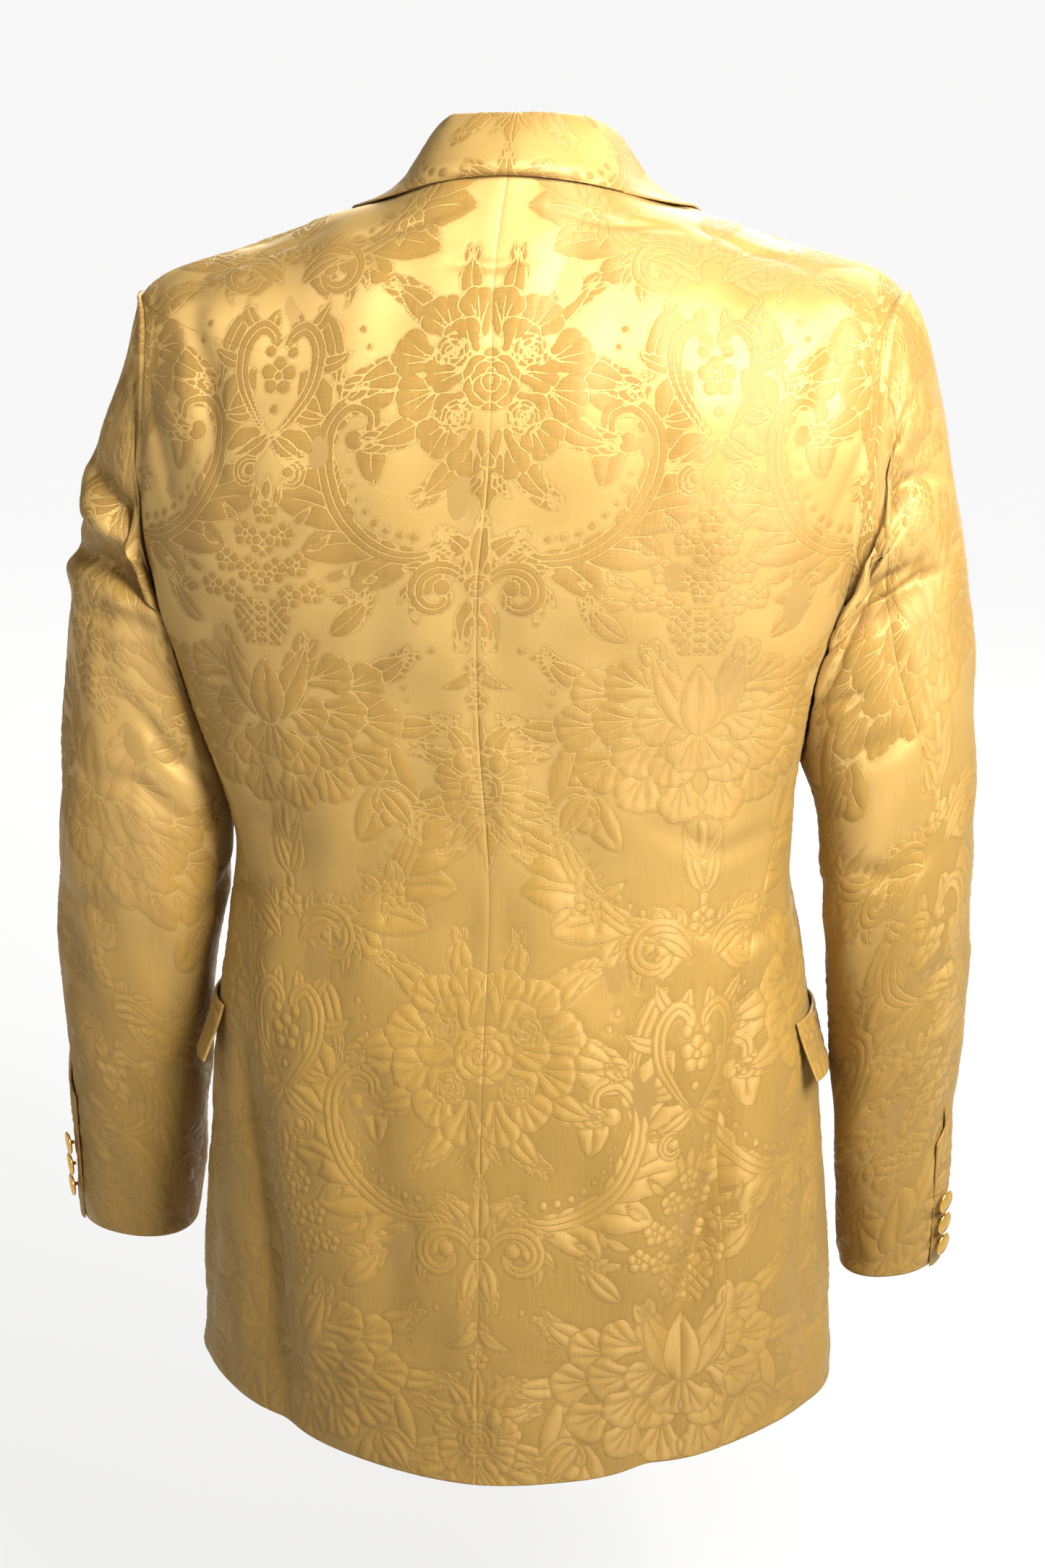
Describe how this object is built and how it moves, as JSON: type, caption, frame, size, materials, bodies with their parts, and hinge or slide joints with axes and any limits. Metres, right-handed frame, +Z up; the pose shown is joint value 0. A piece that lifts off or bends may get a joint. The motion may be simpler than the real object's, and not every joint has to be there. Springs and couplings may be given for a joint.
{
  "type": "blazer",
  "caption": "Single-breasted blazer in gold damask silk, worn shape, with notched lapels, hip pocket flaps, vented cuffs and metal shank buttons.",
  "frame": {"origin": "middle of the neck opening at the height of the shoulder neck points, where the wearer holds the garment up", "axes": "+Z up along the wearer's back, +Y towards the wearer's back, -Y the wearer's front, +X the wearer's left"},
  "size_m": [0.5861, 0.288, 0.8151],
  "materials": {
    "damask": "gold silk satin damask with a raised self-colour pattern, soft sheen",
    "button_metal": "polished gold-coloured metal with a low dome and rim"
  },
  "bodies": {
    "root": {"back_left": "damask", "back_right": "damask", "side_left": "damask", "side_right": "damask", "front_left": "damask", "front_right": "damask", "lapel_left": "damask", "lapel_right": "damask", "collar_leaf": "damask", "collar_stand": "damask", "sleeve_upper_left": "damask", "sleeve_upper_right": "damask", "sleeve_under_left": "damask", "sleeve_under_right": "damask", "pocket_flap_left": "damask", "pocket_flap_right": "damask", "front_button_1": "button_metal", "front_button_2": "button_metal", "cuff_button_l1": "button_metal", "cuff_button_l2": "button_metal", "cuff_button_l3": "button_metal", "cuff_button_r1": "button_metal", "cuff_button_r2": "button_metal", "cuff_button_r3": "button_metal"}
  },
  "joints": []
}
